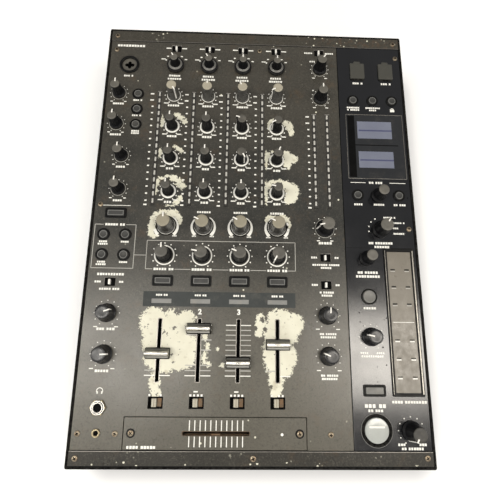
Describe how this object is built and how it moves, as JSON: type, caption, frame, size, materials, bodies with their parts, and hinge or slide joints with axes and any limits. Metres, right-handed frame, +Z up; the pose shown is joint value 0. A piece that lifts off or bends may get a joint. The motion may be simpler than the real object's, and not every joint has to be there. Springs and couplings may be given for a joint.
{
  "type": "dj mixer",
  "caption": "Club-style DJ mixer: a box-shaped console with rotary knobs, channel faders, a crossfader, level meters and an effects panel.",
  "frame": {"origin": "on the table, under the centre of the case's rectangular footprint", "axes": "+Z up; -Y is the user's side, with the crossfader and the headphone sockets; +X is to the user's right, with the effects panel"},
  "size_m": [0.32, 0.44, 0.107],
  "materials": {
    "case_paint": "worn satin black paint on folded steel",
    "face_paint": "fine-textured dark grey paint, chipped round the faders and tone knobs",
    "gloss_panel": "glossy black overlay with fine scratches",
    "black_knob": "matt black moulded plastic",
    "beige_knob": "matt beige moulded plastic cap",
    "fader_metal": "black fader cap with a bright worn ridge",
    "stem_steel": "plain steel blade",
    "key_rubber": "dark grey silicone keys",
    "clear_lens": "pale translucent button lens",
    "circuit_board": "green solder resist with black components",
    "supply_steel": "plain folded steel can",
    "bare_metal": "plain bright metal of screws and sockets",
    "print_white": "screen-printed pale legend",
    "black_rubber": "soft black rubber",
    "display_cover": "smooth dark display window"
  },
  "bodies": {
    "case": {"chassis": "case_paint", "faceplate": "face_paint", "crossfader_plate": "face_paint", "fx_panel": "gloss_panel", "control_board": "circuit_board", "power_supply": "supply_steel"},
    "ch1_input_select_knob": {"ch1_input_select_knob": "black_knob"},
    "ch2_input_select_knob": {"ch2_input_select_knob": "black_knob"},
    "ch3_input_select_knob": {"ch3_input_select_knob": "black_knob"},
    "ch4_input_select_knob": {"ch4_input_select_knob": "black_knob"},
    "ch1_level_knob": {"ch1_level_knob": "beige_knob"},
    "ch2_level_knob": {"ch2_level_knob": "beige_knob"},
    "ch3_level_knob": {"ch3_level_knob": "beige_knob"},
    "ch4_level_knob": {"ch4_level_knob": "beige_knob"},
    "ch1_high_knob": {"ch1_high_knob": "black_knob"},
    "ch2_high_knob": {"ch2_high_knob": "black_knob"},
    "ch3_high_knob": {"ch3_high_knob": "black_knob"},
    "ch4_high_knob": {"ch4_high_knob": "black_knob"},
    "ch1_mid_knob": {"ch1_mid_knob": "black_knob"},
    "ch2_mid_knob": {"ch2_mid_knob": "black_knob"},
    "ch3_mid_knob": {"ch3_mid_knob": "black_knob"},
    "ch4_mid_knob": {"ch4_mid_knob": "black_knob"},
    "ch1_low_knob": {"ch1_low_knob": "black_knob"},
    "ch2_low_knob": {"ch2_low_knob": "black_knob"},
    "ch3_low_knob": {"ch3_low_knob": "black_knob"},
    "ch4_low_knob": {"ch4_low_knob": "black_knob"},
    "ch1_filter_knob": {"ch1_filter_knob": "beige_knob"},
    "ch2_filter_knob": {"ch2_filter_knob": "beige_knob"},
    "ch3_filter_knob": {"ch3_filter_knob": "beige_knob"},
    "ch4_filter_knob": {"ch4_filter_knob": "beige_knob"},
    "ch1_sweep_knob": {"ch1_sweep_knob": "black_knob"},
    "ch2_sweep_knob": {"ch2_sweep_knob": "black_knob"},
    "ch3_sweep_knob": {"ch3_sweep_knob": "black_knob"},
    "ch4_sweep_knob": {"ch4_sweep_knob": "black_knob"},
    "mic_1_level_knob": {"mic_1_level_knob": "black_knob"},
    "mic_2_level_knob": {"mic_2_level_knob": "black_knob"},
    "mic_high_knob": {"mic_high_knob": "black_knob"},
    "mic_low_knob": {"mic_low_knob": "black_knob"},
    "headphone_mix_knob": {"headphone_mix_knob": "black_knob"},
    "headphone_level_knob": {"headphone_level_knob": "black_knob"},
    "master_level_knob": {"master_level_knob": "black_knob"},
    "balance_knob": {"balance_knob": "black_knob"},
    "booth_level_knob": {"booth_level_knob": "beige_knob"},
    "fader_contour_knob": {"fader_contour_knob": "black_knob"},
    "crossfader_contour_knob": {"crossfader_contour_knob": "black_knob"},
    "effect_select_knob": {"effect_select_knob": "black_knob"},
    "effect_assign_knob": {"effect_assign_knob": "black_knob"},
    "effect_time_knob": {"effect_time_knob": "black_knob"},
    "effect_frequency_knob": {"effect_frequency_knob": "black_knob"},
    "effect_amount_knob": {"effect_amount_knob": "beige_knob"},
    "ch1_fader": {"ch1_fader": "fader_metal"},
    "ch2_fader": {"ch2_fader": "fader_metal"},
    "ch3_fader": {"ch3_fader": "fader_metal"},
    "ch4_fader": {"ch4_fader": "fader_metal"},
    "crossfader": {"crossfader": "stem_steel"},
    "mic_keys": {"mic_keys": "key_rubber"},
    "sweep_keys": {"sweep_keys": "key_rubber"},
    "cue_keys": {"cue_keys": "key_rubber"},
    "fx_keys": {"fx_keys": "key_rubber"},
    "fx_on_button": {"fx_on_button": "clear_lens"}
  },
  "joints": [
    {"name": "ch1_input_select_turn", "type": "hinge", "parent": "case", "child": "ch1_input_select_knob", "pos_m": [-0.087, 0.176, 0.088], "axis": [0, 0, 1], "range_deg": [-90, 30]},
    {"name": "ch2_input_select_turn", "type": "hinge", "parent": "case", "child": "ch2_input_select_knob", "pos_m": [-0.0508, 0.176, 0.088], "axis": [0, 0, 1], "range_deg": [-90, 30]},
    {"name": "ch3_input_select_turn", "type": "hinge", "parent": "case", "child": "ch3_input_select_knob", "pos_m": [-0.0146, 0.176, 0.088], "axis": [0, 0, 1], "range_deg": [-60, 60]},
    {"name": "ch4_input_select_turn", "type": "hinge", "parent": "case", "child": "ch4_input_select_knob", "pos_m": [0.0216, 0.176, 0.088], "axis": [0, 0, 1], "range_deg": [-60, 60]},
    {"name": "ch1_level_turn", "type": "hinge", "parent": "case", "child": "ch1_level_knob", "pos_m": [-0.087, 0.1401, 0.088], "axis": [0, 0, 1], "range_deg": [0, 300]},
    {"name": "ch2_level_turn", "type": "hinge", "parent": "case", "child": "ch2_level_knob", "pos_m": [-0.0508, 0.1401, 0.088], "axis": [0, 0, 1], "range_deg": [-150, 150]},
    {"name": "ch3_level_turn", "type": "hinge", "parent": "case", "child": "ch3_level_knob", "pos_m": [-0.0146, 0.1401, 0.088], "axis": [0, 0, 1], "range_deg": [-178, 122]},
    {"name": "ch4_level_turn", "type": "hinge", "parent": "case", "child": "ch4_level_knob", "pos_m": [0.0216, 0.1401, 0.088], "axis": [0, 0, 1], "range_deg": [-265, 35]},
    {"name": "ch1_high_turn", "type": "hinge", "parent": "case", "child": "ch1_high_knob", "pos_m": [-0.087, 0.1042, 0.088], "axis": [0, 0, 1], "range_deg": [-150, 150]},
    {"name": "ch2_high_turn", "type": "hinge", "parent": "case", "child": "ch2_high_knob", "pos_m": [-0.0508, 0.1042, 0.088], "axis": [0, 0, 1], "range_deg": [-150, 150]},
    {"name": "ch3_high_turn", "type": "hinge", "parent": "case", "child": "ch3_high_knob", "pos_m": [-0.0146, 0.1042, 0.088], "axis": [0, 0, 1], "range_deg": [-215, 85]},
    {"name": "ch4_high_turn", "type": "hinge", "parent": "case", "child": "ch4_high_knob", "pos_m": [0.0216, 0.1042, 0.088], "axis": [0, 0, 1], "range_deg": [-270, 30]},
    {"name": "ch1_mid_turn", "type": "hinge", "parent": "case", "child": "ch1_mid_knob", "pos_m": [-0.087, 0.0683, 0.088], "axis": [0, 0, 1], "range_deg": [-150, 150]},
    {"name": "ch2_mid_turn", "type": "hinge", "parent": "case", "child": "ch2_mid_knob", "pos_m": [-0.0508, 0.0683, 0.088], "axis": [0, 0, 1], "range_deg": [-150, 150]},
    {"name": "ch3_mid_turn", "type": "hinge", "parent": "case", "child": "ch3_mid_knob", "pos_m": [-0.0146, 0.0683, 0.088], "axis": [0, 0, 1], "range_deg": [0, 300]},
    {"name": "ch4_mid_turn", "type": "hinge", "parent": "case", "child": "ch4_mid_knob", "pos_m": [0.0216, 0.0683, 0.088], "axis": [0, 0, 1], "range_deg": [-130, 170]},
    {"name": "ch1_low_turn", "type": "hinge", "parent": "case", "child": "ch1_low_knob", "pos_m": [-0.087, 0.0324, 0.088], "axis": [0, 0, 1], "range_deg": [-150, 150]},
    {"name": "ch2_low_turn", "type": "hinge", "parent": "case", "child": "ch2_low_knob", "pos_m": [-0.0508, 0.0324, 0.088], "axis": [0, 0, 1], "range_deg": [-150, 150]},
    {"name": "ch3_low_turn", "type": "hinge", "parent": "case", "child": "ch3_low_knob", "pos_m": [-0.0146, 0.0324, 0.088], "axis": [0, 0, 1], "range_deg": [-150, 150]},
    {"name": "ch4_low_turn", "type": "hinge", "parent": "case", "child": "ch4_low_knob", "pos_m": [0.0216, 0.0324, 0.088], "axis": [0, 0, 1], "range_deg": [-228, 72]},
    {"name": "ch1_filter_turn", "type": "hinge", "parent": "case", "child": "ch1_filter_knob", "pos_m": [-0.087, -0.0035, 0.088], "axis": [0, 0, 1], "range_deg": [-150, 150]},
    {"name": "ch2_filter_turn", "type": "hinge", "parent": "case", "child": "ch2_filter_knob", "pos_m": [-0.0508, -0.0035, 0.088], "axis": [0, 0, 1], "range_deg": [-215, 85]},
    {"name": "ch3_filter_turn", "type": "hinge", "parent": "case", "child": "ch3_filter_knob", "pos_m": [-0.0146, -0.0035, 0.088], "axis": [0, 0, 1], "range_deg": [-210, 90]},
    {"name": "ch4_filter_turn", "type": "hinge", "parent": "case", "child": "ch4_filter_knob", "pos_m": [0.0216, -0.0035, 0.088], "axis": [0, 0, 1], "range_deg": [-215, 85]},
    {"name": "ch1_sweep_turn", "type": "hinge", "parent": "case", "child": "ch1_sweep_knob", "pos_m": [-0.087, -0.033, 0.088], "axis": [0, 0, 1], "range_deg": [-150, 150]},
    {"name": "ch2_sweep_turn", "type": "hinge", "parent": "case", "child": "ch2_sweep_knob", "pos_m": [-0.0508, -0.033, 0.088], "axis": [0, 0, 1], "range_deg": [-230, 70]},
    {"name": "ch3_sweep_turn", "type": "hinge", "parent": "case", "child": "ch3_sweep_knob", "pos_m": [-0.0146, -0.033, 0.088], "axis": [0, 0, 1], "range_deg": [-220, 80]},
    {"name": "ch4_sweep_turn", "type": "hinge", "parent": "case", "child": "ch4_sweep_knob", "pos_m": [0.0216, -0.033, 0.088], "axis": [0, 0, 1], "range_deg": [-300, 0]},
    {"name": "mic_1_level_turn", "type": "hinge", "parent": "case", "child": "mic_1_level_knob", "pos_m": [-0.1446, 0.1411, 0.088], "axis": [0, 0, 1], "range_deg": [-150, 150]},
    {"name": "mic_2_level_turn", "type": "hinge", "parent": "case", "child": "mic_2_level_knob", "pos_m": [-0.1446, 0.1054, 0.088], "axis": [0, 0, 1], "range_deg": [-150, 150]},
    {"name": "mic_high_turn", "type": "hinge", "parent": "case", "child": "mic_high_knob", "pos_m": [-0.1365, 0.0697, 0.088], "axis": [0, 0, 1], "range_deg": [-150, 150]},
    {"name": "mic_low_turn", "type": "hinge", "parent": "case", "child": "mic_low_knob", "pos_m": [-0.1365, 0.0338, 0.088], "axis": [0, 0, 1], "range_deg": [-150, 150]},
    {"name": "headphone_mix_turn", "type": "hinge", "parent": "case", "child": "headphone_mix_knob", "pos_m": [-0.1365, -0.0886, 0.088], "axis": [0, 0, 1], "range_deg": [-80, 220]},
    {"name": "headphone_level_turn", "type": "hinge", "parent": "case", "child": "headphone_level_knob", "pos_m": [-0.1365, -0.1255, 0.088], "axis": [0, 0, 1], "range_deg": [-62, 238]},
    {"name": "master_level_turn", "type": "hinge", "parent": "case", "child": "master_level_knob", "pos_m": [0.0688, 0.177, 0.088], "axis": [0, 0, 1], "range_deg": [-115, 185]},
    {"name": "balance_turn", "type": "hinge", "parent": "case", "child": "balance_knob", "pos_m": [0.0688, 0.1411, 0.088], "axis": [0, 0, 1], "range_deg": [-150, 150]},
    {"name": "booth_level_turn", "type": "hinge", "parent": "case", "child": "booth_level_knob", "pos_m": [0.0688, -0.0035, 0.088], "axis": [0, 0, 1], "range_deg": [-250, 50]},
    {"name": "fader_contour_turn", "type": "hinge", "parent": "case", "child": "fader_contour_knob", "pos_m": [0.0688, -0.0886, 0.088], "axis": [0, 0, 1], "range_deg": [-147, 153]},
    {"name": "crossfader_contour_turn", "type": "hinge", "parent": "case", "child": "crossfader_contour_knob", "pos_m": [0.0688, -0.1255, 0.088], "axis": [0, 0, 1], "range_deg": [-218, 82]},
    {"name": "effect_select_turn", "type": "hinge", "parent": "case", "child": "effect_select_knob", "pos_m": [0.1247, 0.0324, 0.088], "axis": [0, 0, 1], "continuous": true},
    {"name": "effect_assign_turn", "type": "hinge", "parent": "case", "child": "effect_assign_knob", "pos_m": [0.1247, -0.0035, 0.088], "axis": [0, 0, 1], "range_deg": [-90, 150]},
    {"name": "effect_time_turn", "type": "hinge", "parent": "case", "child": "effect_time_knob", "pos_m": [0.1093, -0.033, 0.088], "axis": [0, 0, 1], "continuous": true},
    {"name": "effect_frequency_turn", "type": "hinge", "parent": "case", "child": "effect_frequency_knob", "pos_m": [0.1093, -0.1076, 0.088], "axis": [0, 0, 1], "range_deg": [-228, 72]},
    {"name": "effect_amount_turn", "type": "hinge", "parent": "case", "child": "effect_amount_knob", "pos_m": [0.1403, -0.1886, 0.088], "axis": [0, 0, 1], "range_deg": [-300, 0]},
    {"name": "ch1_fader_slide", "type": "slide", "parent": "case", "child": "ch1_fader", "axis": [0, 1, 0], "range_m": [-0.0194, 0.0256]},
    {"name": "ch2_fader_slide", "type": "slide", "parent": "case", "child": "ch2_fader", "axis": [0, 1, 0], "range_m": [-0.0416, 0.0034]},
    {"name": "ch3_fader_slide", "type": "slide", "parent": "case", "child": "ch3_fader", "axis": [0, 1, 0], "range_m": [-0.0118, 0.0332]},
    {"name": "ch4_fader_slide", "type": "slide", "parent": "case", "child": "ch4_fader", "axis": [0, 1, 0], "range_m": [-0.0278, 0.0172]},
    {"name": "crossfader_slide", "type": "slide", "parent": "case", "child": "crossfader", "axis": [1, 0, 0], "range_m": [-0.0225, 0.0225]},
    {"name": "mic_keys_press", "type": "slide", "parent": "case", "child": "mic_keys", "axis": [0, 0, -1], "range_m": [0, 0.001], "stiffness_N_per_m": 150, "springref_m": -0.001},
    {"name": "sweep_keys_press", "type": "slide", "parent": "case", "child": "sweep_keys", "axis": [0, 0, -1], "range_m": [0, 0.001], "stiffness_N_per_m": 150, "springref_m": -0.001},
    {"name": "cue_keys_press", "type": "slide", "parent": "case", "child": "cue_keys", "axis": [0, 0, -1], "range_m": [0, 0.001], "stiffness_N_per_m": 150, "springref_m": -0.001},
    {"name": "fx_keys_press", "type": "slide", "parent": "case", "child": "fx_keys", "axis": [0, 0, -1], "range_m": [0, 0.001], "stiffness_N_per_m": 150, "springref_m": -0.001},
    {"name": "fx_on_button_press", "type": "slide", "parent": "case", "child": "fx_on_button", "axis": [0, 0, -1], "range_m": [0, 0.001], "stiffness_N_per_m": 150, "springref_m": -0.001}
  ]
}
